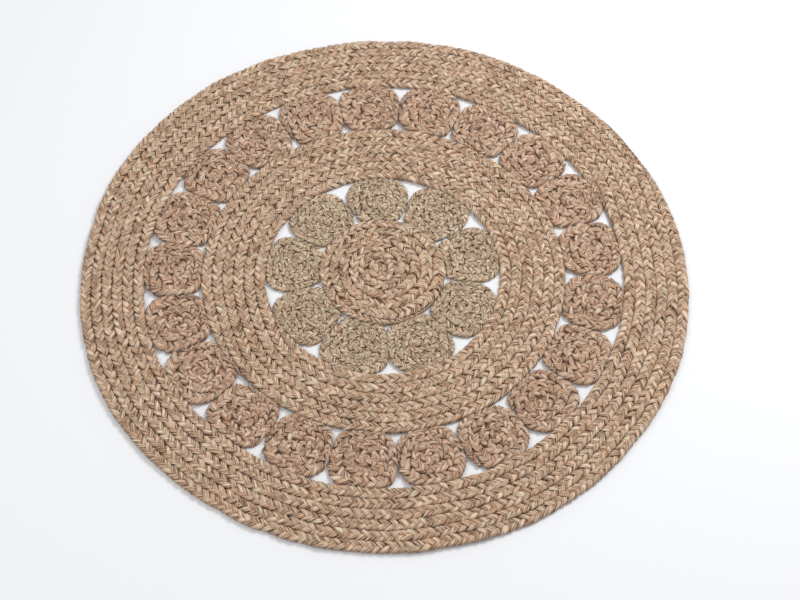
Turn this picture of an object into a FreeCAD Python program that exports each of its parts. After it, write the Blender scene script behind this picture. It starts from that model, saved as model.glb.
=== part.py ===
import FreeCAD, Part

import math
import os

# A round floor rug sewn together from flat three-strand braids of jute.
# From the middle out: a centre coil, a ring of small coils of finer braid, a band of
# concentric rows, a ring of larger coils, and a wide outer band. Every coil and band is
# one length of braid wound in a spiral. A sewing thread runs in the grooves between the
# rows underneath, and short knotted threads tie each coil to its neighbours.
# Origin: the rug's centre at floor level. +Z is up, out of the walked-on face.

# ---- Driving dimensions, mm ----
rug_radius = 600.0

band_rows = 6                # turns of braid in each band
band_pitch = 21.0            # one row of a band, seam to seam
centre_pitch = 20.0          # one turn of the centre coil
fine_pitch = 13.0            # one turn of the finer braid in the inner coils
coarse_thickness = 11.0
fine_thickness = 8.0
coarse_chamfer = 3.0         # the braid's rounded edge, drawn as a chamfer
fine_chamfer = 2.2

row_gap = 0.3                # clear space between neighbouring turns
sewn_gap = 1.6               # clear space between separate braids, where the ties pass

centre_half_turns = 11
inner_half_turns = 8
outer_half_turns = 6
centre_tail_angle = 150.0    # the last, thinning stretch of the braid, beyond its full turns
coil_tail_angle = 55.0

inner_coil_count = 9
outer_coil_count = 21
first_inner_angle = 15.4
first_outer_angle = 9.7

middle_join_span = 44.0      # angle over which each row of a band steps out by one pitch
outer_join_span = 30.0
join_lead = 0.6              # a band's braid begins and ends just short of a coil's contact
middle_join_coil = 12        # coil beside the middle band's join, counted from zero
outer_join_coil = 1

seam_clearance = 0.2
coarse_seam_half_width = 1.1
fine_seam_half_width = 0.85
tie_radius = 0.6
knot_radius = 1.0
knot_clearance = 0.05

UP = FreeCAD.Vector(0, 0, 1)


def flat(x, y):
    return FreeCAD.Vector(x, y, 0)


def polar(radius, degrees):
    angle = math.radians(degrees)
    return flat(radius * math.cos(angle), radius * math.sin(angle))


# ---- Sections: (distance out from the path, height) ----
def braid_section(pitch, thickness, chamfer):
    half = (pitch - row_gap) / 2
    top = thickness
    return [
        (-half, chamfer),
        (-half + chamfer, 0),
        (half - chamfer, 0),
        (half, chamfer),
        (half, top - chamfer),
        (half - chamfer, top),
        (-half + chamfer, top),
        (-half, top - chamfer),
    ]


def seam_section(half_width, chamfer):
    """A square thread on its corner, resting up in the groove between two rows."""
    groove_top = chamfer + row_gap / 2
    middle = groove_top - seam_clearance * math.sqrt(2) - half_width
    return [
        (-half_width, middle),
        (0, middle - half_width),
        (half_width, middle),
        (0, middle + half_width),
    ]


# ---- Paths: lists of arcs (centre, radius, start angle, swept angle), counter-clockwise ----
def coil_outer_radius(pitch, half_turns):
    return pitch * (1 + (half_turns - 1) / 2) - row_gap / 2


def coil_flat_radius(pitch, half_turns):
    """The radius of the half-turn before the last, on the coil's less full side."""
    return coil_outer_radius(pitch, half_turns) - pitch / 2


def coil_arc(pitch, half_turns, turn, offset, sweep):
    """One half-turn. The last one is centred on the coil's origin, with its middle on +Y."""
    on_full_side = (half_turns - 1 - turn) % 2 == 0
    centre = flat(0, 0) if on_full_side else flat(pitch / 2, 0)
    start = 0 if on_full_side else 180
    radius = pitch / 2 * (turn + 1) + offset
    return (centre, radius, start, sweep)


def coil_path(pitch, half_turns):
    return [coil_arc(pitch, half_turns, turn, 0, 180) for turn in range(half_turns)]


def coil_groove(pitch, half_turns):
    turns = range(half_turns - 2)
    return [coil_arc(pitch, half_turns, turn, pitch / 2, 180) for turn in turns]


def step_arcs(radius, span, join_angle):
    """Two tangent arcs that lift a row by one pitch, meeting at the join angle."""
    start_angle = join_angle - span / 2
    end_angle = join_angle + span / 2
    start = polar(radius, start_angle)
    end = polar(radius + band_pitch, end_angle)
    start_tangent = polar(1, start_angle + 90)
    end_tangent = polar(1, end_angle + 90)
    chord = end - start
    along = chord.dot(start_tangent + end_tangent)
    turn = 2 * (1 - start_tangent.dot(end_tangent))
    reach = (math.sqrt(along ** 2 + turn * chord.dot(chord)) - along) / turn
    meeting = (start + end + (start_tangent - end_tangent) * reach) * 0.5
    arcs = []
    for point, tangent, first in ((start, start_tangent, True), (end, end_tangent, False)):
        inward = flat(-tangent.y, tangent.x)
        leg = meeting - point
        arc_radius = leg.dot(leg) / (2 * leg.dot(inward))
        centre = point + inward * arc_radius
        from_point = math.degrees(math.atan2(point.y - centre.y, point.x - centre.x))
        to_meeting = math.degrees(math.atan2(meeting.y - centre.y, meeting.x - centre.x))
        if first:
            arcs.append((centre, arc_radius, from_point, (to_meeting - from_point) % 360))
        else:
            arcs.append((centre, arc_radius, to_meeting, (from_point - to_meeting) % 360))
    return arcs


def shifted(arc, distance):
    centre, radius, start, sweep = arc
    return (centre, radius + distance, start, sweep)


def band_row_arcs(inner_radius, span, join_angle):
    """The first row's full circle, then its step out in two arcs."""
    radius = inner_radius + (band_pitch - row_gap) / 2
    circle = (flat(0, 0), radius, join_angle + span / 2, 360 - span)
    return [circle] + step_arcs(radius, span, join_angle)


def band_arcs(inner_radius, span, join_angle, offset, last_row_arcs):
    circle, first_step, second_step = band_row_arcs(inner_radius, span, join_angle)
    arcs = [shifted(second_step, offset - band_pitch)]
    for row in range(band_rows):
        arcs += [shifted(arc, offset + row * band_pitch) for arc in (circle, first_step, second_step)]
    return arcs[:len(arcs) - 3 + last_row_arcs]


# ---- Solids ----
def swept_arc(section, arc):
    centre, radius, start, sweep = arc
    outward = polar(1, start)
    points = [centre + outward * (radius + out) + UP * height for out, height in section]
    face = Part.Face(Part.makePolygon(points + points[:1]))
    return face.revolve(centre, UP, sweep)


def joined(solids):
    whole = solids[0].fuse(solids[1:]) if len(solids) > 1 else solids[0]
    return whole.Solids[0]


def disc(radius):
    return Part.makeCylinder(radius, coarse_thickness)


def wound_coil(pitch, half_turns, thickness, chamfer, tail_angle):
    """A spiral of half circles, its thinning tail trimmed to a round outline."""
    section = braid_section(pitch, thickness, chamfer)
    turns = [swept_arc(section, arc) for arc in coil_path(pitch, half_turns)]
    tail = swept_arc(section, coil_arc(pitch, half_turns, half_turns, 0, tail_angle))
    tail = tail.common(disc(coil_outer_radius(pitch, half_turns)))
    return joined(turns + [tail])


def coil_seam(pitch, half_turns, half_width, chamfer):
    section = seam_section(half_width, chamfer)
    return joined([swept_arc(section, arc) for arc in coil_groove(pitch, half_turns)])


def wound_band(inner_radius, span, join_angle):
    """Concentric rows that step out at the join. Both ends are trimmed to the band's edges."""
    section = braid_section(band_pitch, coarse_thickness, coarse_chamfer)
    rows = [swept_arc(section, arc) for arc in band_arcs(inner_radius, span, join_angle, 0, 2)]
    outer_radius = band_outer_radius(inner_radius)
    rows[0] = rows[0].cut(disc(inner_radius))
    rows[-1] = rows[-1].common(disc(outer_radius))
    return joined(rows)


def band_seam(inner_radius, span, join_angle):
    section = seam_section(coarse_seam_half_width, coarse_chamfer)
    grooves = band_arcs(inner_radius, span, join_angle, band_pitch / 2, 0)
    return joined([swept_arc(section, arc) for arc in grooves[:-1]])


def band_outer_radius(inner_radius):
    return inner_radius + band_rows * band_pitch - row_gap


def placed(shape, ring_radius, degrees):
    """Set a coil on its ring with its full side facing out from the rug's centre."""
    copy = shape.copy()
    copy.rotate(flat(0, 0), UP, degrees - 90)
    copy.translate(polar(ring_radius, degrees))
    return copy


def tie_thread(contact, toward, thickness, chamfer):
    """A thread down through the gap at a contact, knotted in the grooves above and below.

    The knots sit a little to one side, where that braid's edge is rounded away.
    """
    shift = knot_radius + knot_clearance - sewn_gap / 2
    rise = shift + (knot_radius + knot_clearance) * math.sqrt(2) - sewn_gap / 2
    low = chamfer - rise
    high = thickness - chamfer + rise
    side = toward - contact
    side.normalize()
    knot_place = contact + side * shift
    leg = Part.makeCylinder(tie_radius, high - low, contact + UP * low)
    knots = [Part.makeSphere(knot_radius, knot_place + UP * height) for height in (low, high)]
    return joined([leg] + knots)


# ---- Layout: each ring starts where the one inside it ends ----
centre_radius = coil_outer_radius(centre_pitch, centre_half_turns)

inner_full = coil_outer_radius(fine_pitch, inner_half_turns)
inner_flat = coil_flat_radius(fine_pitch, inner_half_turns)
inner_ring_radius = centre_radius + sewn_gap + inner_flat
middle_inner_radius = inner_ring_radius + inner_full + sewn_gap
middle_outer_radius = band_outer_radius(middle_inner_radius)

outer_inner_radius = rug_radius - band_rows * band_pitch + row_gap
outer_room = outer_inner_radius - middle_outer_radius - 2 * sewn_gap
coil_depth_in_pitches = outer_half_turns + 0.5
outer_coil_pitch = (outer_room + row_gap) / coil_depth_in_pitches
outer_full = coil_outer_radius(outer_coil_pitch, outer_half_turns)
outer_flat = coil_flat_radius(outer_coil_pitch, outer_half_turns)
outer_ring_radius = outer_inner_radius - sewn_gap - outer_full

inner_angles = [first_inner_angle + 360 / inner_coil_count * i for i in range(inner_coil_count)]
outer_angles = [first_outer_angle + 360 / outer_coil_count * i for i in range(outer_coil_count)]
middle_join_angle = outer_angles[middle_join_coil] - join_lead
outer_join_angle = outer_angles[outer_join_coil] - join_lead


# ---- Braids ----
def braid_nodes():
    nodes = {}
    nodes["centre_coil"] = wound_coil(
        centre_pitch, centre_half_turns, coarse_thickness, coarse_chamfer, centre_tail_angle
    )
    inner_coil = wound_coil(
        fine_pitch, inner_half_turns, fine_thickness, fine_chamfer, coil_tail_angle
    )
    for number, angle in enumerate(inner_angles, 1):
        nodes[f"inner_coil_{number:02d}"] = placed(inner_coil, inner_ring_radius, angle)
    nodes["middle_band"] = wound_band(middle_inner_radius, middle_join_span, middle_join_angle)
    outer_coil = wound_coil(
        outer_coil_pitch, outer_half_turns, coarse_thickness, coarse_chamfer, coil_tail_angle
    )
    for number, angle in enumerate(outer_angles, 1):
        nodes[f"outer_coil_{number:02d}"] = placed(outer_coil, outer_ring_radius, angle)
    nodes["outer_band"] = wound_band(outer_inner_radius, outer_join_span, outer_join_angle)
    return nodes


# ---- Seam threads, in the grooves underneath ----
def seam_nodes():
    centre_seam = coil_seam(
        centre_pitch, centre_half_turns, coarse_seam_half_width, coarse_chamfer
    )
    inner_seam = coil_seam(fine_pitch, inner_half_turns, fine_seam_half_width, fine_chamfer)
    outer_seam = coil_seam(
        outer_coil_pitch, outer_half_turns, coarse_seam_half_width, coarse_chamfer
    )
    inner_seams = [placed(inner_seam, inner_ring_radius, angle) for angle in inner_angles]
    outer_seams = [placed(outer_seam, outer_ring_radius, angle) for angle in outer_angles]
    return {
        "centre_coil_seam_thread": centre_seam,
        "inner_coil_seam_threads": Part.makeCompound(inner_seams),
        "middle_band_seam_thread": band_seam(
            middle_inner_radius, middle_join_span, middle_join_angle
        ),
        "outer_coil_seam_threads": Part.makeCompound(outer_seams),
        "outer_band_seam_thread": band_seam(
            outer_inner_radius, outer_join_span, outer_join_angle
        ),
    }


# ---- Tie threads, where a coil meets what is beside it ----
def flat_side_centre(ring_radius, pitch, degrees):
    """The centre of the half-turn that faces the rug's middle."""
    return polar(ring_radius, degrees) + polar(pitch / 2, degrees - 90)


def ties_inward(angles, ring_radius, pitch, flat_radius, thickness, chamfer):
    ties = []
    for angle in angles:
        centre = flat_side_centre(ring_radius, pitch, angle)
        contact = centre * (1 - (flat_radius + sewn_gap / 2) / centre.Length)
        ties.append(tie_thread(contact, centre, thickness, chamfer))
    return Part.makeCompound(ties)


def ties_outward(angles, ring_radius, full_radius, thickness, chamfer):
    ties = []
    for angle in angles:
        contact = polar(ring_radius + full_radius + sewn_gap / 2, angle)
        ties.append(tie_thread(contact, polar(ring_radius, angle), thickness, chamfer))
    return Part.makeCompound(ties)


def ties_between(angles, ring_radius, thickness, chamfer):
    ties = []
    for angle, next_angle in zip(angles, angles[1:] + angles[:1]):
        next_coil = polar(ring_radius, next_angle)
        contact = (polar(ring_radius, angle) + next_coil) * 0.5
        ties.append(tie_thread(contact, next_coil, thickness, chamfer))
    return Part.makeCompound(ties)


def tie_nodes():
    fine = (fine_thickness, fine_chamfer)
    coarse = (coarse_thickness, coarse_chamfer)
    return {
        "centre_to_inner_coil_ties": ties_inward(
            inner_angles, inner_ring_radius, fine_pitch, inner_flat, *fine
        ),
        "inner_coil_to_coil_ties": ties_between(inner_angles, inner_ring_radius, *fine),
        "inner_coil_to_middle_band_ties": ties_outward(
            inner_angles, inner_ring_radius, inner_full, *fine
        ),
        "middle_band_to_outer_coil_ties": ties_inward(
            outer_angles, outer_ring_radius, outer_coil_pitch, outer_flat, *coarse
        ),
        "outer_coil_to_coil_ties": ties_between(outer_angles, outer_ring_radius, *coarse),
        "outer_coil_to_outer_band_ties": ties_outward(
            outer_angles, outer_ring_radius, outer_full, *coarse
        ),
    }


os.makedirs("parts", exist_ok=True)
for name, shape in (braid_nodes() | seam_nodes() | tie_nodes()).items():
    shape.exportStep(f"parts/{name}.step")
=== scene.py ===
import math

import bpy
import numpy as np
from mathutils import Matrix, Vector


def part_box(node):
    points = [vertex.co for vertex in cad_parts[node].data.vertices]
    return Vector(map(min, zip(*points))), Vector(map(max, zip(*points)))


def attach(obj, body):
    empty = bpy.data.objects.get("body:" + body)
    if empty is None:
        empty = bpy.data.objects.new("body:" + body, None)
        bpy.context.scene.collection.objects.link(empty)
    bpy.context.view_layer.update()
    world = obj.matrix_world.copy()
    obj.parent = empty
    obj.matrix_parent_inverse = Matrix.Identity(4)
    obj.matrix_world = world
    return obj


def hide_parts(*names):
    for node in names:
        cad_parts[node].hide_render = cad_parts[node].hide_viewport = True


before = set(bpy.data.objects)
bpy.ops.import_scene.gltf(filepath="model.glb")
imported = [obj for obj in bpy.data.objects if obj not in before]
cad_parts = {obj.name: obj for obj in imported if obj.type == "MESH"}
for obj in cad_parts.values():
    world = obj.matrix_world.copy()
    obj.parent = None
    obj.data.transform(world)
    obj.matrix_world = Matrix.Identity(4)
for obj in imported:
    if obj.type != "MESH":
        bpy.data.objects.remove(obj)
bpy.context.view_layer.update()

# A round rug of flat three-strand jute braid: every braid is three plaited strands that
# follow the spirals of the CAD frame. Lengths are in metres and angles in radians.

TURN = 2 * math.pi


# ---- Places, from the frame ----
def half_width(node):
    low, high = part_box(node)
    return (high.x - low.x) / 2


def thickness(node):
    low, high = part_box(node)
    return high.z - low.z


RUG_RADIUS = half_width("outer_band")
CENTRE_RADIUS = half_width("centre_coil")
MIDDLE_RADIUS = half_width("middle_band")
COARSE_HEIGHT = thickness("outer_band")
FINE_HEIGHT = thickness("inner_coil_01")

# The frame's own spacing, which its boxes don't give.
ROW_GAP = 0.0003                     # between two rows of one braid
SEWN_GAP = 0.0016                    # between a coil and what it is sewn to
BAND_ROWS = 6
BAND_PITCH = 0.021
CENTRE_PITCH = 0.020
FINE_PITCH = 0.013
CENTRE_HALF_TURNS = 11
INNER_HALF_TURNS = 8
OUTER_HALF_TURNS = 6
INNER_COUNT = 9
OUTER_COUNT = 21
FIRST_INNER_ANGLE = math.radians(15.4)
FIRST_OUTER_ANGLE = math.radians(9.7)
MIDDLE_JOIN_SPAN = math.radians(44)  # over which a band's row steps out to the next
OUTER_JOIN_SPAN = math.radians(30)
JOIN_LEAD = math.radians(0.6)        # how far the step's middle lies before a coil's middle
MIDDLE_JOIN_COIL = 12                # and which coil that is, counted from zero
OUTER_JOIN_COIL = 1


def full_radius(pitch, half_turns):
    """A coil's outline radius on its full side."""
    return pitch * (half_turns + 1) / 2 - ROW_GAP / 2


BAND_WIDTH = BAND_ROWS * BAND_PITCH - ROW_GAP
OUTER_BAND_INNER = RUG_RADIUS - BAND_WIDTH
MIDDLE_BAND_INNER = MIDDLE_RADIUS - BAND_WIDTH
OUTER_ROOM = OUTER_BAND_INNER - MIDDLE_RADIUS - 2 * SEWN_GAP
OUTER_PITCH = (OUTER_ROOM + ROW_GAP) / (OUTER_HALF_TURNS + 0.5)
INNER_ANGLES = [FIRST_INNER_ANGLE + TURN * i / INNER_COUNT for i in range(INNER_COUNT)]
OUTER_ANGLES = [FIRST_OUTER_ANGLE + TURN * i / OUTER_COUNT for i in range(OUTER_COUNT)]


def polar(radius, angle):
    return np.array([radius * math.cos(angle), radius * math.sin(angle)])


def unit(vectors):
    return vectors / np.linalg.norm(vectors, axis=-1)[..., None]


def run_along(line):
    """The length run up to each point of a line."""
    return np.concatenate([[0], np.cumsum(np.linalg.norm(np.diff(line, axis=0), axis=1))])


# ---- Camera, floor and light ----
CAMERA_ELEVATION = math.radians(57.1)
CAMERA_ROLL = math.radians(1.71)
CAMERA_DISTANCE = 5.583          # in rug radii
CAMERA_TARGET = (0.0598, -0.1098)  # in rug radii, on the rug's top
CAMERA_LENS = 77.2               # in millimetres
FLOOR_SIDE = 24                  # in rug radii
FLOOR_COLOUR = (0.82, 0.83, 0.855, 1)
SKY_STRENGTH = 0.62
KEY_LIGHT = ((1.6, 1.2, 2.6), 1.2, 60)   # place, size and power
FILL_LIGHT = ((-1.8, -0.8, 2.6), 1.6, 18)


def make_camera():
    data = bpy.data.cameras.new("camera")
    data.lens = CAMERA_LENS
    data.clip_end = 50
    camera = bpy.data.objects.new("camera", data)
    forward = Vector((0, math.cos(CAMERA_ELEVATION), -math.sin(CAMERA_ELEVATION)))
    level = Vector((1, 0, 0))
    upright = level.cross(forward)
    right = math.cos(CAMERA_ROLL) * level + math.sin(CAMERA_ROLL) * upright
    up = math.cos(CAMERA_ROLL) * upright - math.sin(CAMERA_ROLL) * level
    target = Vector((*CAMERA_TARGET, 0)) * RUG_RADIUS + Vector((0, 0, COARSE_HEIGHT))
    place = target - forward * CAMERA_DISTANCE * RUG_RADIUS
    camera.matrix_world = Matrix.Translation(place) @ Matrix((right, up, -forward)).transposed().to_4x4()
    bpy.context.scene.collection.objects.link(camera)
    bpy.context.scene.camera = camera


def make_floor():
    reach = FLOOR_SIDE / 2 * RUG_RADIUS
    mesh = bpy.data.meshes.new("floor")
    corners = [(-reach, -reach, 0), (reach, -reach, 0), (reach, reach, 0), (-reach, reach, 0)]
    mesh.from_pydata(corners, [], [(0, 1, 2, 3)])
    floor = bpy.data.objects.new("floor", mesh)
    bpy.context.scene.collection.objects.link(floor)
    material = bpy.data.materials.new("pale_floor")
    material.use_nodes = True
    shader = material.node_tree.nodes["Principled BSDF"]
    shader.inputs["Base Color"].default_value = FLOOR_COLOUR
    shader.inputs["Roughness"].default_value = 0.9
    mesh.materials.append(material)


def make_area_light(name, place, size, power):
    data = bpy.data.lights.new(name, "AREA")
    data.shape = "DISK"
    data.size = size
    data.energy = power
    light = bpy.data.objects.new(name, data)
    light.location = place
    light.rotation_euler = (-Vector(place)).to_track_quat("-Z", "Y").to_euler()
    bpy.context.scene.collection.objects.link(light)


def make_light():
    world = bpy.data.worlds.new("studio")
    bpy.context.scene.world = world
    world.use_nodes = True
    background = world.node_tree.nodes["Background"]
    background.inputs["Color"].default_value = (1, 1, 1, 1)
    background.inputs["Strength"].default_value = SKY_STRENGTH
    make_area_light("key_light", *KEY_LIGHT)
    make_area_light("fill_light", *FILL_LIGHT)
    bpy.context.scene.view_settings.view_transform = "Standard"


# ---- Paths: tangent arcs (centre, radius, start angle, swept angle), counter-clockwise ----
def coil_arcs(pitch, half_turns, tail):
    """A small curl, then half circles that grow by half a pitch. The last is centred on the origin."""
    curl_start = math.pi if half_turns % 2 else 0
    arcs = [(np.array([pitch / 4, 0]), pitch / 4, curl_start, math.pi)]
    for turn in range(half_turns + 1):
        on_full_side = (half_turns - 1 - turn) % 2 == 0
        centre = np.zeros(2) if on_full_side else np.array([pitch / 2, 0])
        start = 0 if on_full_side else math.pi
        sweep = tail if turn == half_turns else math.pi
        arcs.append((centre, pitch / 2 * (turn + 1), start, sweep))
    return arcs


def step_arcs(radius, span, join_angle):
    """Two tangent arcs that lift a row by one pitch, meeting at the join angle."""
    start_angle = join_angle - span / 2
    end_angle = join_angle + span / 2
    start = polar(radius, start_angle)
    end = polar(radius + BAND_PITCH, end_angle)
    start_tangent = polar(1, start_angle + math.pi / 2)
    end_tangent = polar(1, end_angle + math.pi / 2)
    chord = end - start
    along = chord @ (start_tangent + end_tangent)
    turn = 2 * (1 - start_tangent @ end_tangent)
    reach = (math.sqrt(along ** 2 + turn * (chord @ chord)) - along) / turn
    meeting = (start + end + (start_tangent - end_tangent) * reach) / 2
    arcs = []
    for point, tangent in ((start, start_tangent), (end, end_tangent)):
        inward = np.array([-tangent[1], tangent[0]])
        leg = meeting - point
        arc_radius = (leg @ leg) / (2 * (leg @ inward))
        centre = point + inward * arc_radius
        angles = [math.atan2(*(p - centre)[::-1]) for p in (point, meeting)]
        first, last = angles if point is start else angles[::-1]
        arcs.append((centre, arc_radius, first, (last - first) % TURN))
    return arcs


def band_arcs(inner_radius, span, join_angle):
    """Concentric rows that each step out by one pitch at the join."""
    radius = inner_radius + (BAND_PITCH - ROW_GAP) / 2
    circle = (np.zeros(2), radius, join_angle + span / 2, TURN - span)
    row = [circle] + step_arcs(radius, span, join_angle)
    shifted = [(c, r + BAND_PITCH * n, a, s) for n in range(-1, BAND_ROWS) for c, r, a, s in row]
    return shifted[1:]


def follow(arcs, step):
    """Evenly spaced points on the arcs: distance run, position and outward direction."""
    ends = np.cumsum([radius * sweep for _, radius, _, sweep in arcs])
    run = np.linspace(0, ends[-1], round(ends[-1] / step) + 1)
    which = np.minimum(np.searchsorted(ends, run), len(arcs) - 1)
    before = np.concatenate([[0], ends[:-1]])[which]
    radius = np.array([arc[1] for arc in arcs])[which]
    angle = np.array([arc[2] for arc in arcs])[which] + (run - before) / radius
    out = np.stack([np.cos(angle), np.sin(angle)], 1)
    centre = np.array([arc[0] for arc in arcs])[which]
    return run, centre + out * radius[:, None], out


# ---- Hand-made unevenness ----
def wander(along, wavelength, rng, waves=5):
    """A smooth random curve of about unit height along a length."""
    total = np.zeros_like(along)
    for _ in range(waves):
        total += np.sin(TURN * along / (wavelength * rng.uniform(0.6, 1.7)) + rng.uniform(0, TURN))
    return total / math.sqrt(waves / 2)


FIELD_SEED = 7
DRIFT_WAVES = ((0.50, 0.0007, 5), (0.16, 0.0004, 7))  # wavelength, size, number
LIFT_WAVES = ((0.45, 0.0004, 4), (0.15, 0.0003, 6))
LIFT_EASE = 0.0003    # over which height the lift leaves the floor
RIM_STRAY = (         # lobes round the rug, share of the radius, phase
    (1, 0.0085, 0.0),
    (2, -0.0030, 0.0),
    (5, 0.0020, 0.6),
    (8, 0.0016, 2.0),
)


def field_waves(bands, rng):
    """Waves that run over the rug: heading, rate, size, phase and the way they push."""
    waves = []
    for wavelength, size, number in bands:
        for _ in range(number):
            heading = rng.uniform(0, TURN)
            rate = TURN / (wavelength * rng.uniform(0.7, 1.4))
            waves.append((heading, rate, size, rng.uniform(0, TURN), rng.uniform(0, TURN)))
    return waves


def settle(points):
    """The rug as it was sewn and laid: all braids stray together, a little sideways and up."""
    rng = np.random.default_rng(FIELD_SEED)
    x, y = points[:, 0].copy(), points[:, 1].copy()
    angle = np.arctan2(y, x)
    outward = (np.hypot(x, y) / RUG_RADIUS) ** 2
    growth = sum(share * np.cos(lobes * angle + phase) for lobes, share, phase in RIM_STRAY) * outward
    points[:, 0] += growth * x
    points[:, 1] += growth * y
    for heading, rate, size, phase, push in field_waves(DRIFT_WAVES, rng):
        wave = size * np.sin(rate * (x * math.cos(heading) + y * math.sin(heading)) + phase)
        points[:, 0] += wave * math.cos(push)
        points[:, 1] += wave * math.sin(push)
    lift = np.zeros_like(x)
    for heading, rate, size, phase, _ in field_waves(LIFT_WAVES, rng):
        lift += size * np.sin(rate * (x * math.cos(heading) + y * math.sin(heading)) + phase)
    points[:, 2] += (lift + np.sqrt(lift ** 2 + LIFT_EASE ** 2)) / 2
    return points


# ---- Pressed coils ----
OUTLINE_PARTS = 72      # directions in which a coil's outline is known
OUTLINE_WAVES = 14      # waves round the outline that are kept when it is smoothed
OUTLINE_DIRECTIONS = TURN * (np.arange(OUTLINE_PARTS) + 0.5) / OUTLINE_PARTS
HALVINGS = 24           # steps in finding where a direction meets its cell's wall
PRESS_GROWTH = 1.5      # how fast the pressing grows from a coil's middle to its edge
BEYOND_EDGE = 1.1       # shares past a coil's or a braid's edge count as this at most
CORNER_SHARPNESS = 18   # how suddenly a coil's flattened sides turn into its round corners


def cell_outline(directions, count, inner, outer, plumpness):
    """How far a circle reaches that is flattened by the walls of one of count cells between two radii.

    Directions are from the cell's middle, with the quarter turn pointing away from the rug's middle.
    Plumpness is the circle's radius as a share of half the cell's depth.
    """
    middle = (inner + outer) / 2
    low = np.zeros_like(directions)
    high = np.full_like(directions, outer - inner)
    for _ in range(HALVINGS):
        reach = (low + high) / 2
        across = reach * np.cos(directions)
        out = middle + reach * np.sin(directions)
        side_share = np.abs(np.arctan2(across, out)) / (math.pi / count)
        depth_share = np.abs(np.hypot(across, out) - middle) / ((outer - inner) / 2)
        inside = np.maximum(side_share, depth_share) < 1
        low = np.where(inside, reach, low)
        high = np.where(inside, high, reach)
    circle = plumpness * (outer - inner) / 2
    return (reach ** -CORNER_SHARPNESS + circle ** -CORNER_SHARPNESS) ** (-1 / CORNER_SHARPNESS)


class Pressed:
    """Presses a wound coil out, or in, until its outline is the wanted one."""

    def __init__(self, middle, arcs, pitch, outer_limit, wanted, eye_shift):
        _, points, out = follow(arcs, pitch / 8)
        _, high = room_between(points, pitch, None, outer_limit)
        edge = points + out * high[:, None] - middle
        part = (np.arctan2(edge[:, 1], edge[:, 0]) % TURN / TURN * OUTLINE_PARTS).astype(int)
        outline = np.zeros(OUTLINE_PARTS)
        np.maximum.at(outline, part % OUTLINE_PARTS, np.hypot(edge[:, 0], edge[:, 1]))
        waves = np.fft.rfft(outline)
        waves[OUTLINE_WAVES:] = 0
        self.middle = middle
        self.wound = np.fft.irfft(waves, OUTLINE_PARTS)
        self.wanted = wanted
        self.eye_shift = eye_shift

    def __call__(self, points):
        offset = points[..., :2] - self.middle
        reach = np.hypot(offset[..., 0], offset[..., 1])
        place = np.arctan2(offset[..., 1], offset[..., 0]) % TURN / TURN * OUTLINE_PARTS
        parts = np.arange(OUTLINE_PARTS) + 0.5
        wound = np.interp(place, parts, self.wound, period=OUTLINE_PARTS)
        wanted = np.interp(place, parts, self.wanted, period=OUTLINE_PARTS)
        share = reach / wound
        stretch = 1 + (wanted / wound - 1) * np.minimum(share, BEYOND_EDGE) ** PRESS_GROWTH
        moved = points.copy()
        centring = np.maximum(1 - share ** 2, 0)[..., None] * self.eye_shift
        moved[..., :2] = self.middle + offset * stretch[..., None] + centring
        return moved


# ---- Meshes ----
class Surface:
    """Collects tubes into one mesh, with what their materials need at each point."""

    def __init__(self):
        self.points, self.quads, self.triangles = [], [], []
        self.fibre, self.crease, self.ridge = [], [], []
        self.count = 0

    def add_tube(self, rings, fibre, crease, ridge):
        """Rings is (ring, corner, xyz), with the corners counter-clockwise seen along the tube.

        Both ends are closed by a fan.
        """
        number, corners = rings.shape[:2]
        index = self.count + np.arange(number * corners).reshape(number, corners)
        around = np.roll(index, -1, axis=1)
        self.quads.append(np.stack([index[:-1], index[1:], around[1:], around[:-1]], -1).reshape(-1, 4))
        tip = self.count + number * corners
        self.triangles.append(np.stack([index[0], around[0], np.full(corners, tip)], -1))
        self.triangles.append(np.stack([around[-1], index[-1], np.full(corners, tip + 1)], -1))
        for store, values in ((self.points, rings), (self.fibre, fibre)):
            store.append(values.reshape(-1, 3))
            store.append(np.stack([values[0].mean(0), values[-1].mean(0)]))
        for store, values in ((self.crease, crease), (self.ridge, ridge)):
            store.append(values.reshape(-1))
            store.append(np.array([values[0].mean(), values[-1].mean()]))
        self.count = tip + 2

    def build(self, name, material):
        mesh = bpy.data.meshes.new(name)
        points = settle(np.concatenate(self.points))
        quads, triangles = np.concatenate(self.quads), np.concatenate(self.triangles)
        corners = np.concatenate([quads.ravel(), triangles.ravel()]).astype(np.int32)
        quad_starts = np.arange(len(quads)) * 4
        triangle_starts = len(quads) * 4 + np.arange(len(triangles)) * 3
        starts = np.concatenate([quad_starts, triangle_starts]).astype(np.int32)
        mesh.vertices.add(len(points))
        mesh.vertices.foreach_set("co", points.astype(np.float32).ravel())
        mesh.loops.add(len(corners))
        mesh.loops.foreach_set("vertex_index", corners)
        mesh.polygons.add(len(starts))
        mesh.polygons.foreach_set("loop_start", starts)
        fibre = mesh.attributes.new("fibre", "FLOAT_VECTOR", "POINT")
        fibre.data.foreach_set("vector", np.concatenate(self.fibre).astype(np.float32).ravel())
        # Per point: painted shade for the creases, and the ridge pattern.
        for attribute, values in (("crease", self.crease), ("ridge", self.ridge)):
            layer = mesh.attributes.new(attribute, "FLOAT", "POINT")
            layer.data.foreach_set("value", np.concatenate(values).astype(np.float32))
        mesh.update(calc_edges=True)
        mesh.validate()
        mesh.shade_smooth()
        mesh.materials.append(material)
        piece = bpy.data.objects.new(name, mesh)
        bpy.context.scene.collection.objects.link(piece)
        return piece


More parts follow.
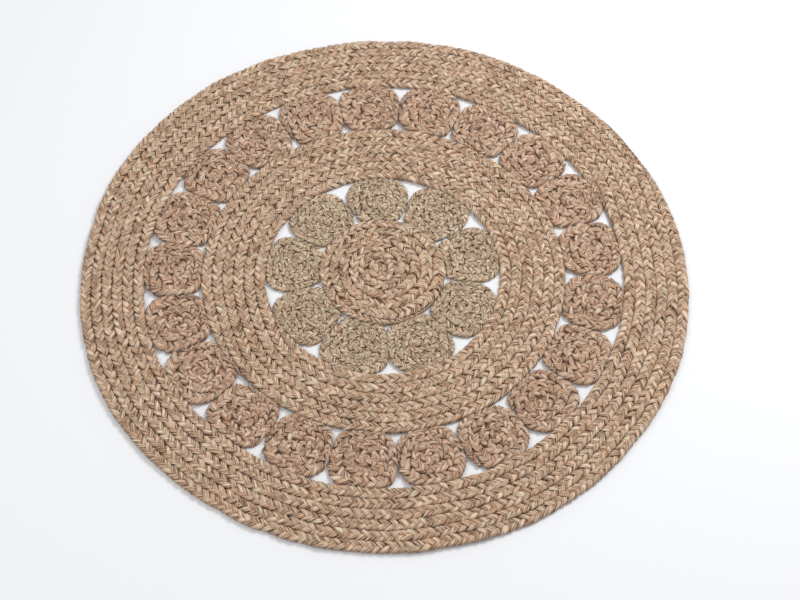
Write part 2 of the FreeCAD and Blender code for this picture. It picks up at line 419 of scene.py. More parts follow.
# ---- The plait ----
class Braid:
    """The sizes of one kind of flat three-strand plait, from its pitch from row to row and its height."""

    def __init__(self, pitch, height, corners):
        self.pitch = pitch
        self.height = height
        self.corners = corners               # points round a strand, on a ridge and in a furrow by turns
        self.period = 2.40 * pitch           # length in which a strand comes back to its place
        self.step = self.period / RINGS_PER_PERIOD
        self.width = 0.525 * pitch           # of a strand, as a flat ribbon
        self.depth = 0.50 * height           # its thickness
        self.swing = 0.51 * pitch            # how far its middle goes to each side
        self.weave = 0.27 * height           # and up and down
        self.ridge = 0.026 * pitch           # how far its fibre bundles stand out
        self.fibre_radius = 0.2 * pitch      # of the round that its fibre pattern is laid on


RINGS_PER_PERIOD = 14
STRANDS = 3
FLOOR_GAP = 0.0001   # braids and threads stay this far above the floor
LEAST_ROOM = 0.12    # share of a row's room that is left where a limit trims it away
END_SIZE = 0.5       # share of its size that a row has at its very ends
THINNEST = 0.45      # share of a strand's thickness that a vanishing row would keep
CLOSEST = 0.55       # and of its period's length
FOLD = 0.97          # how sharply a strand folds at the braid's edges, one being a crease
STIFFNESS = 0.35     # how much of the fold shows in the height across a strand
SQUASH = 0.90        # below one, a strand's section is squarer than an ellipse
WALL = 7             # how suddenly a strand is flattened against the next row
WALL_SHARE = 1.15    # where that wall stands, in halves of the row's room
TOP_SHARE = 1.07     # and where the floor and the top stand, in halves of the height
CROWN = 0.02         # how much thinner a braid is along its edges, as a share


def soft_limit(values, sharpness):
    """Nearly unchanged inside -1 to 1, and never outside."""
    return values / (1 + np.abs(values) ** sharpness) ** (1 / sharpness)


def room_between(points, pitch, inner_limit, outer_limit):
    """The room of a braid to each side of its path, trimmed by round limits (centre, radius)."""
    low = np.full(len(points), -pitch / 2)
    high = np.full(len(points), pitch / 2)
    if outer_limit is not None:
        high = np.minimum(high, outer_limit[1] - np.linalg.norm(points - outer_limit[0], axis=1))
    if inner_limit is not None:
        low = np.maximum(low, inner_limit[1] - np.linalg.norm(points - inner_limit[0], axis=1))
    return low, high


class Row:
    """One braid's path with the room it has, narrower at its ends.

    Tapers are in pitches. The free lengths are those with no row beside them, inside at the start
    and outside at the end.
    """

    def __init__(self, braid, arcs, limits, tapers, free_lengths):
        self.run, self.path, self.out = follow(arcs, braid.step)
        self.along = np.column_stack([-self.out[:, 1], self.out[:, 0]])
        low, high = room_between(self.path, braid.pitch, *limits)
        self.middle = (low + high) / 2
        room = np.clip((high - low) / braid.pitch, LEAST_ROOM, 1)
        from_start = self.run / (tapers[0] * braid.pitch)
        from_end = (self.run[-1] - self.run) / (tapers[1] * braid.pitch)
        ramp = np.clip(np.minimum(from_start, from_end), 0, 1)
        self.size = room * (END_SIZE + (1 - END_SIZE) * np.sqrt(ramp * (2 - ramp)))
        self.free_inside = np.clip((free_lengths[0] - self.run) / braid.period, 0, 1)
        self.free_outside = np.clip((self.run - self.run[-1] + free_lengths[1]) / braid.period, 0, 1)


# Unevenness of the plaiting: size, as a share or in radians, and wavelength in metres.
PACE_STRAY = (0.09, 0.16)
SWAY_STRAY = (0.03, 0.07)
TURN_STRAY = (0.17, 0.045)
WIDTH_STRAY = (0.08, 0.030)
REACH_STRAY = (0.06, 0.045)
HEIGHT_STRAY = (0.02, 0.06)


def stray(run, kind, rng):
    """Random unevenness along a braid, of one of the kinds above."""
    size, wavelength = kind
    return size * wander(run, wavelength, rng)


def plait(braid, row, seed, unrest):
    """The three strands of one braid, each as what Surface.add_tube needs."""
    rng = np.random.default_rng(seed)
    run, size = row.run, row.size
    period = braid.period * (CLOSEST + (1 - CLOSEST) * size)
    pace = TURN / (period * (1 + stray(run, PACE_STRAY, rng)))
    phase = np.cumsum(pace) * (run[1] - run[0]) + rng.uniform(0, TURN)
    middle = row.middle + braid.pitch * stray(run, SWAY_STRAY, rng)
    thin = THINNEST + (1 - THINNEST) * size
    strands = []
    for strand in range(STRANDS):
        turn = phase + TURN * strand / STRANDS + unrest * stray(run, TURN_STRAY, rng)
        plump = size * (1 + unrest * stray(run, WIDTH_STRAY, rng))
        reach = braid.swing * size * (1 + unrest * stray(run, REACH_STRAY, rng))
        lift = unrest * braid.height * stray(run, HEIGHT_STRAY, rng)
        strands.append(strand_tube(braid, row, turn, pace, middle, reach, lift, plump, thin, rng))
    return strands


def ribbon(braid, row, turn, pace, middle, reach, thin, offset):
    """Points of a flat strand that is folded over at the braid's edges, and the directions off its face.

    The offset is across the strand, and each point has its own place in the fold. A strand runs nearly
    straight from edge to edge, as the arcsine of a sine does. For every time to one edge and back it
    goes over and under twice.
    """
    steepness = 2 * reach / math.pi
    slant = np.arctan(steepness * pace)
    place_per_offset = np.cos(slant) / steepness
    place = turn + offset * place_per_offset
    height_place = 2 * (turn + STIFFNESS * offset * place_per_offset)
    folded = FOLD * np.sin(place)
    swing = reach / math.asin(FOLD)
    speed = swing * FOLD * np.cos(place) / np.sqrt(1 - folded ** 2)
    climb = -2 * braid.weave * thin * np.cos(height_place)

    out, along = row.out[:, None, :], row.along[:, None, :]
    flat = row.path[:, None, :] + out * (middle + swing * np.arcsin(folded))[..., None]
    flat = flat - along * (offset * np.sin(slant))[..., None]
    height = braid.height / 2 - braid.weave * thin * np.sin(height_place)
    points = np.concatenate([flat, height[..., None]], -1)

    # The way across the strand and the way along it, each as (outward, along the row, up).
    level = np.zeros_like(place)
    climb_across = climb * STIFFNESS * place_per_offset
    across = np.stack([speed * place_per_offset, level - np.sin(slant), climb_across], -1)
    forward = np.stack([speed * pace, level + 1, climb * pace], -1)
    face = unit(np.cross(across, forward))
    off = np.concatenate([out * face[..., :1] + along * face[..., 1:2], face[..., 2:]], -1)
    return points, off


RIDGE_SHARE = 0.75           # height of the even ridges round a strand
RIDGE_STRAY = (0.45, 0.035)  # how uneven each ridge is along it: size, and wavelength in metres
RIDGE_WAVES = 3
SHADED_BORDER_SHARPNESS = 12        # how narrow the painted shade along a strand's borders is
FREE_EDGE = 0.4              # share of the way out to a free edge where the painted crease shade begins to fade
FIBRE_SPREAD = 40            # the fibre patterns of strands begin up to this far apart


def strand_tube(braid, row, turn, pace, middle, reach, lift, plump, thin, rng):
    """One strand as rings round its ribbon, with its fibre pattern, painted crease shade and ridges."""
    run = row.run
    turn, pace, middle, reach = turn[:, None], pace[:, None], middle[:, None], reach[:, None]
    lift, plump, thin = lift[:, None], plump[:, None], thin[:, None]
    angle = TURN * np.arange(braid.corners)[None, :] / braid.corners + 0 * turn
    cos, sin = np.cos(angle), np.sin(angle)
    stray_size, stray_length = RIDGE_STRAY
    strength = [wander(run, stray_length, rng, RIDGE_WAVES) for _ in range(braid.corners)]
    ridge = np.cos(braid.corners / 2 * angle) * RIDGE_SHARE + stray_size * np.column_stack(strength)
    across = plump * braid.width / 2 * np.sign(cos) * np.abs(cos) ** SQUASH
    deep = thin * (braid.depth / 2 * np.sign(sin) * np.abs(sin) ** SQUASH)
    points, off = ribbon(braid, row, turn, pace, middle, reach, thin, across)
    rings = points + off * deep[..., None]
    rings[..., 2] += lift

    share, rings = press_to_room(braid, row, rings)
    relief = np.sign(sin) * np.sqrt(np.abs(sin)) * ridge * braid.ridge * thin
    rings = rings + off * relief[..., None]
    rings[..., 2] = np.maximum(rings[..., 2], FLOOR_GAP)

    length = run_along(points.mean(axis=1))
    fibre = np.stack([
        braid.fibre_radius * cos,
        braid.fibre_radius * sin,
        length[:, None] + rng.uniform(0, FIBRE_SPREAD) + 0 * angle,
    ], -1)
    # Painted shade: darkest at mid-height, deep in the groove between rows, and along the strand's
    # borders; it fades out at free edges.
    middle_height = braid.height / 2
    depth = 1 - np.clip(np.abs(rings[..., 2] - middle_height) / (middle_height * thin), 0, 1)
    beside_nothing = np.where(share > 0, row.free_outside[:, None], row.free_inside[:, None])
    hidden = 1 - beside_nothing * np.clip(np.abs(share) / FREE_EDGE - 1, 0, 1)
    crease = np.maximum(depth, np.abs(cos) ** SHADED_BORDER_SHARPNESS) * hidden
    return rings, fibre, crease, ridge


FREE_WALL = 0.06     # how much further a free edge may reach, in halves of the row's room
FREE_CROWN = 0.14    # and how much thinner a braid is along it, as a share
CROWN_POWER = 6      # how late towards its edges a braid gets thinner


def press_to_room(braid, row, rings):
    """A strand flattened against the rows beside it and against the floor. Free edges stay rounder.

    With it comes how far out each point is, as a share of half the row's width.
    """
    lateral = ((rings[..., :2] - row.path[:, None, :]) * row.out[:, None, :]).sum(-1)
    half = (row.size * braid.pitch / 2)[:, None]
    share = (lateral - row.middle[:, None]) / half
    free = np.where(share > 0, row.free_outside[:, None], row.free_inside[:, None])
    wall = WALL_SHARE + FREE_WALL * free
    pressed = wall * soft_limit(share / wall, WALL)
    rings = rings.copy()
    rings[..., :2] += row.out[:, None, :] * (half * (pressed - share))[..., None]
    edge_drop = (CROWN + FREE_CROWN * free) * np.minimum(np.abs(pressed), BEYOND_EDGE) ** CROWN_POWER
    top = TOP_SHARE * braid.height / 2 * (1 - edge_drop)
    rings[..., 2] = braid.height / 2 + top * soft_limit((rings[..., 2] - braid.height / 2) / top, WALL)
    return pressed, rings


# ---- Loose fibres ----
FIBRE_RINGS = 5
FIBRE_CORNERS = 3
FIBRE_RADII = (0.008, 0.018)         # in pitches
FIBRE_FLATNESS = 0.6                 # its thickness as a share of its width
FIBRE_TIP = 0.05                     # how blunt its ends are, up to one
FIBRE_DRIFT = 0.5                    # how far it may stray sideways, in corners of the strand
FIBRE_RISE = 0.0002                  # how much higher than the strand's surface it begins
FIBRE_TIP_RISE = (0.0002, 0.0011)    # and how much more at its far end
FIBRE_RIDGE = 0.8                    # a crest's ridge value, so the painted ridge shade leaves it a little paler than the strand
FIBRE_SHIFT = 30                     # its fibre pattern begins up to this far from the strand's


def loose_fibres(surface, braid, strand, number, rng):
    """Thin slivers of fibre that have come a little away from a strand and lie along it."""
    rings, fibre, _, _ = strand
    corners = rings.shape[1]
    spread = TURN * np.arange(FIBRE_CORNERS) / FIBRE_CORNERS
    along = np.linspace(0, 1, FIBRE_RINGS)
    for _ in range(number):
        start = rng.integers(0, len(rings) - FIBRE_RINGS - 1)
        corner = rng.integers(1, corners // 2)
        line = rings[start:start + FIBRE_RINGS, corner].copy()
        drift = rng.uniform(-FIBRE_DRIFT, FIBRE_DRIFT)
        next_line = rings[start:start + FIBRE_RINGS, corner + 1]
        line += (next_line - line) * (drift * along)[:, None]
        line[:, 2] += FIBRE_RISE + rng.uniform(*FIBRE_TIP_RISE) * along ** 2
        taper = np.sqrt(np.maximum(np.sin(math.pi * along), FIBRE_TIP))
        radius = braid.pitch * rng.uniform(*FIBRE_RADII) * taper
        direction = unit(line[-1] - line[0])
        side = np.cross(direction, (0, 0, 1))
        lift = np.cross(side, direction)
        offset = np.cos(spread)[:, None] * side + FIBRE_FLATNESS * np.sin(spread)[:, None] * lift
        tube = line[:, None, :] + radius[:, None, None] * offset[None, :, :]
        tube[..., 2] = np.maximum(tube[..., 2], FLOOR_GAP)
        place = fibre[start:start + FIBRE_RINGS, corner] + rng.uniform(0, FIBRE_SHIFT)
        blank = np.zeros((FIBRE_RINGS, FIBRE_CORNERS))
        surface.add_tube(tube, np.repeat(place[:, None, :], FIBRE_CORNERS, 1), blank, blank + FIBRE_RIDGE)


# ---- Sewing thread ----
THREAD_RADIUS = 0.0006
THREAD_CORNERS = 6
PLY_TWIST = TURN / 0.004             # one twist in 4 mm
PLY_SHARE = 0.12                     # how much the two plies shape the thread
THREAD_TIP = 0.1                     # how blunt its ends are, up to one
NEARLY_UP = (0.02, 0.03, 1)          # to find the level way across a thread


def thread_tube(line, radius):
    """A two-ply thread along a line of points."""
    along = unit(np.gradient(line, axis=0))
    side = unit(np.cross(along, NEARLY_UP))
    lift = np.cross(side, along)
    length = run_along(line)
    angle = TURN * np.arange(THREAD_CORNERS)[None, :] / THREAD_CORNERS + 0 * length[:, None]
    ply = np.cos(2 * angle + PLY_TWIST * length[:, None])
    reach = radius * (1 + PLY_SHARE * ply)
    ends = np.sqrt(np.clip(np.minimum(length, length[-1] - length) / (2 * radius), THREAD_TIP, 1))
    reach = reach * ends[:, None]
    turned = side[:, None, :] * np.cos(angle)[..., None] + lift[:, None, :] * np.sin(angle)[..., None]
    rings = line[:, None, :] + turned * reach[..., None]
    rings[..., 2] = np.maximum(rings[..., 2], FLOOR_GAP)
    fibre = np.stack([radius * np.cos(angle), radius * np.sin(angle), length[:, None] + 0 * angle], -1)
    # Painted shade between the two plies, carried as the crease value, and the ply pattern as the ridge.
    return rings, fibre, 0.5 - 0.5 * ply, ply


STITCH_STEPS = 6
STITCH_LENGTH = 0.55     # in pitches
STITCH_REACH = 0.26      # to each side of the groove, in pitches
STITCH_LOW = 0.035       # height where it crosses the groove, in braid heights
STITCH_RISE = 0.22       # and how much higher it is where it goes through a row
STITCH_STRAY = (0.3, 5)  # unevenness along the seam: size, and wavelength in stitches


def seam_line(arcs, pitch, height, rng):
    """Stitches under the rug, to and fro across the groove between two rows, caught in each in turn."""
    stitch = STITCH_LENGTH * pitch
    run, path, out = follow(arcs, stitch / STITCH_STEPS)
    stray_size, stray_stitches = STITCH_STRAY
    swing = math.pi * run / stitch + stray_size * wander(run, stray_stitches * stitch, rng)
    across = STITCH_REACH * pitch * np.sin(swing)
    upward = STITCH_LOW * height + STITCH_RISE * height * np.sin(swing) ** 4
    return np.column_stack([path + out * across[:, None], upward])


TIE_TURNS = 3
TIE_STEPS = 14
TIE_REACH = 0.0042       # to each side of where the braids meet
TIE_SHARES = (0.8, 1.1)  # of that reach, from tie to tie
TIE_SPREAD = 0.0022      # to each side along them
TIE_SLANT = 0.0005       # how far its turns lean along them
TIE_MIDDLE = 0.41        # height of its middle, in braid heights
TIE_RISE = 0.37          # and how far above and below that it goes


def tie_line(contact, across, height, rng):
    """A thread wound round the two braids' edges where they meet."""
    turn = np.linspace(0, TURN * TIE_TURNS, TIE_TURNS * TIE_STEPS + 1) + rng.uniform(0, TURN)
    along = np.array([-across[1], across[0]])
    sideways = TIE_REACH * np.cos(turn) * rng.uniform(*TIE_SHARES)
    forward = np.linspace(-TIE_SPREAD, TIE_SPREAD, len(turn)) + TIE_SLANT * np.sin(turn)
    upward = TIE_MIDDLE * height + TIE_RISE * height * np.sin(turn)
    return np.column_stack([contact + sideways[:, None] * across + forward[:, None] * along, upward])


# ---- Materials ----
# Patterns of streaks, in order: scale across and along the strand per bundle width, and noise detail.
BUNDLES = (1.0, 0.11, 2)
HAIRS = (3.2, 0.22, 2)
PATCHES = (0.16, 0.16, 1)
RUDDY_PATCHES = (0.30, 0.10, 1)
GREY_PATCHES = (0.25, 0.09, 1)
PATTERN_SHIFT = 5            # how far apart one material's patterns begin
NOISE_ROUGHNESS = 0.6

# How much bundles, hairs, patches and ridges count in how pale a fibre is, and the darkest and palest sum.
# The ridge term is painted shade: darker in the furrows between fibre bundles, paler on their crests.
TONE_WEIGHTS = (1.5, 1.4, 0.3, 0.12)
TONE_LIMITS = (1.21, 1.99)

# What the colour is multiplied by, and from where to where that sets in.
RUDDY_TINT = (0.97, 0.84, 0.75)
GREY_TINT = (0.88, 0.96, 0.97)
PATCH_LIMITS = (0.52, 0.72)
# Painted shade: this tint darkens the creases between rows and along the strands' borders.
PAINTED_SHADE_TINT = (0.42, 0.27, 0.18)
PAINTED_SHADE_LIMITS = (0.35, 1.0)
PAINTED_SHADE_STRENGTH = 0.85

ROUGHNESS_NOISE = (0.3, 0.7)
ROUGHNESS = (0.62, 0.92)
SPECULAR = 0.32
SHEEN = 0.08
SHEEN_ROUGHNESS = 0.5
HAIR_BUMP = 0.6              # height of the hairs as a share of the bundles'
BUMP_DEPTH = 0.55            # in bundle widths


class Nodes:
    """Short ways to add the nodes that every fibre material uses."""

    def __init__(self, material):
        material.use_nodes = True
        self.tree = material.node_tree
        self.shader = self.tree.nodes["Principled BSDF"]

    def add(self, kind, values=(), links=()):
        node = self.tree.nodes.new(kind)
        for name, value in dict(values).items():
            node.inputs[name].default_value = value
        for name, output in dict(links).items():
            self.tree.links.new(output, node.inputs[name])
        return node

    def attribute(self, name, output):
        node = self.add("ShaderNodeAttribute")
        node.attribute_name = name
        return node.outputs[output]

    def streaks(self, fibre, pattern, width, shift):
        """Noise drawn out along the strand."""
        across, along, detail = pattern
        mapping = self.add(
            "ShaderNodeMapping",
            {"Scale": (across / width, across / width, along / width), "Location": (shift, 0, 0)},
            {"Vector": fibre},
        )
        noise = self.add(
            "ShaderNodeTexNoise",
            {"Scale": 1.0, "Detail": detail, "Roughness": NOISE_ROUGHNESS},
            {"Vector": mapping.outputs["Vector"]},
        )
        return noise.outputs["Fac"]

    def spread(self, value, low, high, to_low=0.0, to_high=1.0):
        """The value moved from one range to another, and kept inside it."""
        limits = {"From Min": low, "From Max": high, "To Min": to_low, "To Max": to_high}
        return self.add("ShaderNodeMapRange", limits, {"Value": value}).outputs["Result"]

    def weighted(self, *terms):
        """The sum of values, each multiplied by its weight."""
        total = None
        for value, weight in terms:
            node = self.add("ShaderNodeMath")
            node.operation = "MULTIPLY_ADD"
            self.tree.links.new(value, node.inputs[0])
            node.inputs[1].default_value = weight
            if total is None:
                node.inputs[2].default_value = 0
            else:
                self.tree.links.new(total, node.inputs[2])
            total = node.outputs["Value"]
        return total

    def tinted(self, factor, colour, tint):
        """The colour multiplied by a tint, by the given factor."""
        node = self.add("ShaderNodeMix")
        node.data_type = "RGBA"
        node.blend_type = "MULTIPLY"
        self.tree.links.new(factor, node.inputs["Factor"])
        self.tree.links.new(colour, node.inputs["A"])
        node.inputs["B"].default_value = (*tint, 1)
        return node.outputs["Result"]


def make_fibre_material(name, ramp_colours, width, shift):
    """Combed plant fibre: streaks along the strand, ruddy and grey patches, and painted shade in the
    creases.

    The width is how wide a bundle of fibres is, and scales the whole pattern.
    """
    material = bpy.data.materials.new(name)
    nodes = Nodes(material)
    fibre = nodes.attribute("fibre", "Vector")
    crease = nodes.attribute("crease", "Fac")
    ridge = nodes.attribute("ridge", "Fac")

    streaks = []
    for place, pattern in enumerate((BUNDLES, HAIRS, PATCHES, RUDDY_PATCHES, GREY_PATCHES)):
        streaks.append(nodes.streaks(fibre, pattern, width, shift + PATTERN_SHIFT * place))
    bundles, hairs, patches, ruddy, grey = streaks

    # The ridge term adds painted shade: darker in the furrows between fibre bundles, paler on their
    # crests.
    tone = nodes.weighted(*zip((bundles, hairs, patches, ridge), TONE_WEIGHTS))
    ramp = nodes.add("ShaderNodeValToRGB", links={"Fac": nodes.spread(tone, *TONE_LIMITS)})
    elements = ramp.color_ramp.elements
    positions = np.linspace(0, 1, len(ramp_colours))
    for position in positions[1:-1]:
        elements.new(position)
    for element, position, colour in zip(elements, positions, ramp_colours):
        element.position = position
        element.color = (*colour, 1)
    colour = nodes.tinted(nodes.spread(ruddy, *PATCH_LIMITS), ramp.outputs["Color"], RUDDY_TINT)
    colour = nodes.tinted(nodes.spread(grey, *PATCH_LIMITS), colour, GREY_TINT)
    # Painted shade: the colour darkened in the creases between rows and along strand borders.
    colour = nodes.tinted(nodes.spread(crease, *PAINTED_SHADE_LIMITS, 0, PAINTED_SHADE_STRENGTH), colour, PAINTED_SHADE_TINT)
    nodes.tree.links.new(colour, nodes.shader.inputs["Base Color"])

    rough = nodes.spread(hairs, *ROUGHNESS_NOISE, *ROUGHNESS)
    nodes.tree.links.new(rough, nodes.shader.inputs["Roughness"])
    nodes.shader.inputs["Specular IOR Level"].default_value = SPECULAR
    nodes.shader.inputs["Sheen Weight"].default_value = SHEEN
    nodes.shader.inputs["Sheen Roughness"].default_value = SHEEN_ROUGHNESS

    height = nodes.weighted((bundles, 1.0), (hairs, HAIR_BUMP))
    bump_sizes = {"Strength": 1.0, "Distance": BUMP_DEPTH * width}
    bump = nodes.add("ShaderNodeBump", bump_sizes, {"Height": height})
    nodes.tree.links.new(bump.outputs["Normal"], nodes.shader.inputs["Normal"])
    return material


# Colours run from the darkest fibre to the palest.
JUTE_COLOURS = (
    (0.140, 0.070, 0.038),
    (0.330, 0.200, 0.125),
    (0.510, 0.350, 0.238),
    (0.650, 0.480, 0.345),
    (0.830, 0.690, 0.530),
)
FINE_JUTE_COLOURS = (
    (0.120, 0.070, 0.038),
    (0.300, 0.200, 0.125),
    (0.480, 0.352, 0.240),
    (0.620, 0.485, 0.350),
    (0.800, 0.690, 0.540),
)
COIL_TINT = (0.95, 0.915, 0.925)     # the outer coils are a little darker than the bands
COIL_JUTE_COLOURS = [tuple(np.array(colour) * COIL_TINT) for colour in JUTE_COLOURS]
THREAD_COLOURS = (
    (0.30, 0.22, 0.15),
    (0.52, 0.41, 0.29),
    (0.74, 0.63, 0.48),
)
COARSE_BUNDLE = 0.0031       # width of a bundle of fibres
FINE_BUNDLE = 0.0022
THREAD_BUNDLE = 0.0008


# ---- Pieces ----
def finish_piece(piece, slot, *nodes):
    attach(piece, "root")
    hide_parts(*nodes)


COARSE_CORNERS = 16
FINE_CORNERS = 12
STRAND_NAMES = ("a", "b", "c")
BAND_FIBRES = 140            # loose fibres on each strand
COIL_FIBRES = 6
BAND_UNREST = 1.0            # how uneven the plaiting is
COIL_UNREST = 1.6
BAND_TAPERS = (4, 4)         # in pitches, at the start and at the end
COIL_TAPERS = (1.0, 2.5)
COIL_TAILS = (85, 110)       # degrees that a coil's braid goes on past its last half turn
MIDDLE_STRAY = 0.25          # how far a coil's middle may lie off, in pitches
PLUMPNESS_STRAY = 0.03
RUG_MIDDLE = np.zeros(2)
NO_LIMIT = None


def make_band(node, inner_radius, outer_radius, arcs, seed, material):
    """A long band: each of its three strands is a piece of its own."""
    braid = Braid(BAND_PITCH, COARSE_HEIGHT, COARSE_CORNERS)
    limits = ((RUG_MIDDLE, inner_radius), (RUG_MIDDLE, outer_radius))
    free_lengths = (TURN * (inner_radius + BAND_PITCH / 2), TURN * (outer_radius - BAND_PITCH / 2))
    row = Row(braid, arcs, limits, BAND_TAPERS, free_lengths)
    rng = np.random.default_rng(seed + 1)
    for letter, strand in zip(STRAND_NAMES, plait(braid, row, seed, BAND_UNREST)):
        surface = Surface()
        surface.add_tube(*strand)
        loose_fibres(surface, braid, strand, BAND_FIBRES, rng)
        piece = surface.build(f"{node}_strand_{letter}", material)
        finish_piece(piece, "jute_braid", node)


class Coil:
    """Where one coil lies and how it is pressed into its room."""

    def __init__(self, middle, spin, braid, half_turns, tail, wanted, eye_shift):
        self.braid = braid
        self.half_turns = half_turns
        self.spin = spin
        self.turning = np.array([[math.cos(spin), -math.sin(spin)], [math.sin(spin), math.cos(spin)]])
        self.origin = middle - self.turning @ np.array([braid.pitch / 4, 0])
        self.arcs = self.place(coil_arcs(braid.pitch, half_turns, tail))
        self.limit = (self.origin, full_radius(braid.pitch, half_turns))
        self.press = Pressed(middle, self.arcs, braid.pitch, self.limit, wanted, eye_shift)

    def place(self, arcs):
        """Arcs that were drawn round the origin, turned and moved to where the coil lies."""
        placed = []
        for centre, radius, start, sweep in arcs:
            placed.append((self.origin + self.turning @ centre, radius, start + self.spin, sweep))
        return placed

    def groove_arcs(self):
        """The line between its rows, which the seam follows."""
        pitch = self.braid.pitch
        turns = coil_arcs(pitch, self.half_turns, 0)[1:self.half_turns - 1]
        return self.place([(c, radius + pitch / 2, start, sweep) for c, radius, start, sweep in turns])


def make_coil(node, coil, seed, material, slot):
    braid = coil.braid
    last_turn = TURN * (coil.limit[1] - braid.pitch / 2)
    row = Row(braid, coil.arcs, (NO_LIMIT, coil.limit), COIL_TAPERS, (0, last_turn))
    rng = np.random.default_rng(seed + 1)
    surface = Surface()
    for strand in plait(braid, row, seed, COIL_UNREST):
        pressed = (coil.press(strand[0]), *strand[1:])
        surface.add_tube(*pressed)
        loose_fibres(surface, braid, pressed, COIL_FIBRES, rng)
    finish_piece(surface.build(f"{node}_braid", material), slot, node)


def make_seam(node, lines, material):
    surface = Surface()
    for line in lines:
        surface.add_tube(*thread_tube(line, THREAD_RADIUS))
    finish_piece(surface.build(f"{node}_stitches", material), "sewing_thread", node)


def coil_seam_lines(coils, rng):
    lines = []
    for coil in coils:
        line = seam_line(coil.groove_arcs(), coil.braid.pitch, coil.braid.height, rng)
        lines.append(coil.press(line))
    return lines


ARCS_PER_ROW = 3             # a circle and the two arcs of a step


def band_groove_arcs(arcs):
    """The line between a band's rows, which the seam follows. It begins and ends inside the band."""
    inner_rows = arcs[1:1 - 2 * ARCS_PER_ROW]
    return [(c, radius + BAND_PITCH / 2, start, sweep) for c, radius, start, sweep in inner_rows]


def make_ties(node, angles, radii, across_radial, height, rng, material):
    surface = Surface()
    for angle, radius in zip(angles, radii):
        across = polar(1, angle) if across_radial else polar(1, angle + math.pi / 2)
        surface.add_tube(*thread_tube(tie_line(polar(radius, angle), across, height, rng), THREAD_RADIUS))
    finish_piece(surface.build(f"{node}_loops", material), "sewing_thread", node)


def centre_reach(angle):
    """Where the centre coil meets the inner coils: it was sewn in a little off to the back."""
    return CENTRE_RADIUS + SEWN_GAP / 2 + CENTRE_BULGE * (1 + np.sin(angle)) / 2


def ring_coils(angles, inner_radii, outer, braid, half_turns, plumpness, seed):
    """Coils side by side between two radii, each turned and pressed in its own way."""
    rng = np.random.default_rng(seed)
    coils = []
    for angle, inner in zip(angles, inner_radii):
        directions = OUTLINE_DIRECTIONS - angle + math.pi / 2
        plump = plumpness + rng.uniform(-PLUMPNESS_STRAY, PLUMPNESS_STRAY)
        wanted = cell_outline(directions, len(angles), inner, outer, plump)
        eye_shift = rng.uniform(-MIDDLE_STRAY, MIDDLE_STRAY, 2) * braid.pitch
        tail = math.radians(rng.uniform(*COIL_TAILS))
        middle = polar((inner + outer) / 2, angle)
        coils.append(Coil(middle, rng.uniform(0, TURN), braid, half_turns, tail, wanted, eye_shift))
    return coils


CONTACT = 0.0004             # how far a pressed coil stays inside the room between its neighbours
CENTRE_BULGE = 0.008         # how much further the centre coil reaches at the back than at the front
CENTRE_EYE_SHIFT = (-0.004, 0.011)
CENTRE_TAIL = math.radians(150)
INNER_PLUMPNESS = 1.26
OUTER_PLUMPNESS = 1.20

# Seeds. A braid's plait takes one, and its loose fibres the next.
RING_SEEDS = (21, 22)
CENTRE_SEED = 100
INNER_SEED = 200
OUTER_SEED = 300
BAND_SEEDS = (400, 500)
THREAD_SEED = 31

make_camera()
make_floor()
make_light()

COARSE_JUTE = make_fibre_material("jute", JUTE_COLOURS, COARSE_BUNDLE, 0)
COIL_JUTE = make_fibre_material("coil_jute", COIL_JUTE_COLOURS, COARSE_BUNDLE, 20)
FINE_JUTE = make_fibre_material("fine_jute", FINE_JUTE_COLOURS, FINE_BUNDLE, 40)
THREAD = make_fibre_material("thread", THREAD_COLOURS, THREAD_BUNDLE, 80)

centre_braid = Braid(CENTRE_PITCH, COARSE_HEIGHT, COARSE_CORNERS)
inner_braid = Braid(FINE_PITCH, FINE_HEIGHT, FINE_CORNERS)
outer_braid = Braid(OUTER_PITCH, COARSE_HEIGHT, COARSE_CORNERS)

centre_coil = Coil(
    RUG_MIDDLE, 0, centre_braid, CENTRE_HALF_TURNS, CENTRE_TAIL,
    centre_reach(OUTLINE_DIRECTIONS), np.array(CENTRE_EYE_SHIFT),
)
inner_coils = ring_coils(
    INNER_ANGLES, centre_reach(np.array(INNER_ANGLES)) + CONTACT, MIDDLE_BAND_INNER - CONTACT, inner_braid,
    INNER_HALF_TURNS, INNER_PLUMPNESS, RING_SEEDS[0],
)
outer_coils = ring_coils(
    OUTER_ANGLES, [MIDDLE_RADIUS + CONTACT] * OUTER_COUNT, OUTER_BAND_INNER - CONTACT, outer_braid,
    OUTER_HALF_TURNS, OUTER_PLUMPNESS, RING_SEEDS[1],
)
middle_join = OUTER_ANGLES[MIDDLE_JOIN_COIL] - JOIN_LEAD
outer_join = OUTER_ANGLES[OUTER_JOIN_COIL] - JOIN_LEAD
middle_arcs = band_arcs(MIDDLE_BAND_INNER, MIDDLE_JOIN_SPAN, middle_join)
outer_arcs = band_arcs(OUTER_BAND_INNER, OUTER_JOIN_SPAN, outer_join)

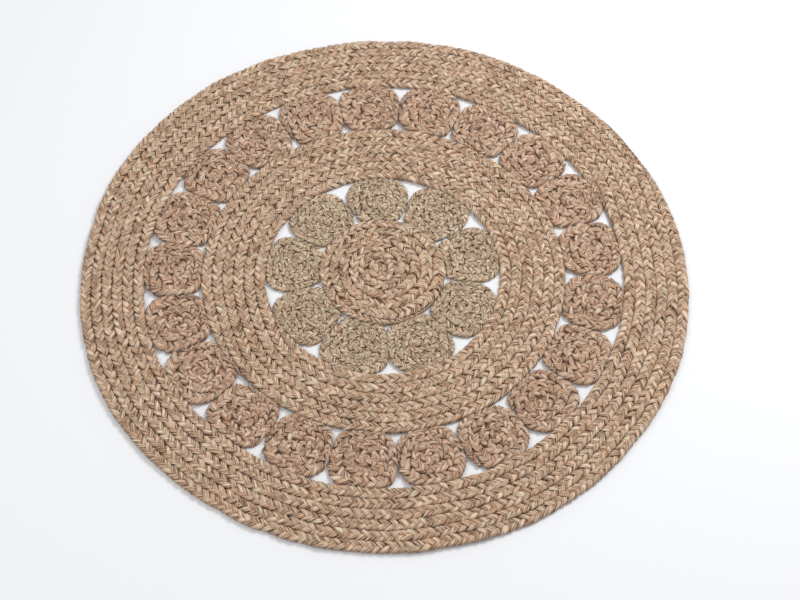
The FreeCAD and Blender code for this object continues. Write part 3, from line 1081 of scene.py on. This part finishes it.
make_coil("centre_coil", centre_coil, CENTRE_SEED, COARSE_JUTE, "jute_braid")
for number, coil in enumerate(inner_coils, 1):
    make_coil(f"inner_coil_{number:02d}", coil, INNER_SEED + 2 * number, FINE_JUTE, "fine_jute_braid")
for number, coil in enumerate(outer_coils, 1):
    make_coil(f"outer_coil_{number:02d}", coil, OUTER_SEED + 2 * number, COIL_JUTE, "jute_braid")
make_band("middle_band", MIDDLE_BAND_INNER, MIDDLE_RADIUS, middle_arcs, BAND_SEEDS[0], COARSE_JUTE)
make_band("outer_band", OUTER_BAND_INNER, RUG_RADIUS, outer_arcs, BAND_SEEDS[1], COARSE_JUTE)

thread_rng = np.random.default_rng(THREAD_SEED)
make_seam("centre_coil_seam_thread", coil_seam_lines([centre_coil], thread_rng), THREAD)
make_seam("inner_coil_seam_threads", coil_seam_lines(inner_coils, thread_rng), THREAD)
make_seam("outer_coil_seam_threads", coil_seam_lines(outer_coils, thread_rng), THREAD)
for node, arcs in (("middle_band_seam_thread", middle_arcs), ("outer_band_seam_thread", outer_arcs)):
    line = seam_line(band_groove_arcs(arcs), BAND_PITCH, COARSE_HEIGHT, thread_rng)
    make_seam(node, [line], THREAD)

inner_between = [angle + math.pi / INNER_COUNT for angle in INNER_ANGLES]
outer_between = [angle + math.pi / OUTER_COUNT for angle in OUTER_ANGLES]
inner_middle = (centre_reach(np.array(inner_between)) + MIDDLE_BAND_INNER) / 2
outer_middle = (MIDDLE_RADIUS + OUTER_BAND_INNER) / 2
for node, angles, radii, across_radial, height in (
    ("centre_to_inner_coil_ties", INNER_ANGLES, centre_reach(np.array(INNER_ANGLES)), True, FINE_HEIGHT),
    ("inner_coil_to_coil_ties", inner_between, inner_middle, False, FINE_HEIGHT),
    ("inner_coil_to_middle_band_ties", INNER_ANGLES, [MIDDLE_BAND_INNER] * INNER_COUNT, True, FINE_HEIGHT),
    ("middle_band_to_outer_coil_ties", OUTER_ANGLES, [MIDDLE_RADIUS] * OUTER_COUNT, True, COARSE_HEIGHT),
    ("outer_coil_to_coil_ties", outer_between, [outer_middle] * OUTER_COUNT, False, COARSE_HEIGHT),
    ("outer_coil_to_outer_band_ties", OUTER_ANGLES, [OUTER_BAND_INNER] * OUTER_COUNT, True, COARSE_HEIGHT),
):
    make_ties(node, angles, radii, across_radial, height, thread_rng, THREAD)
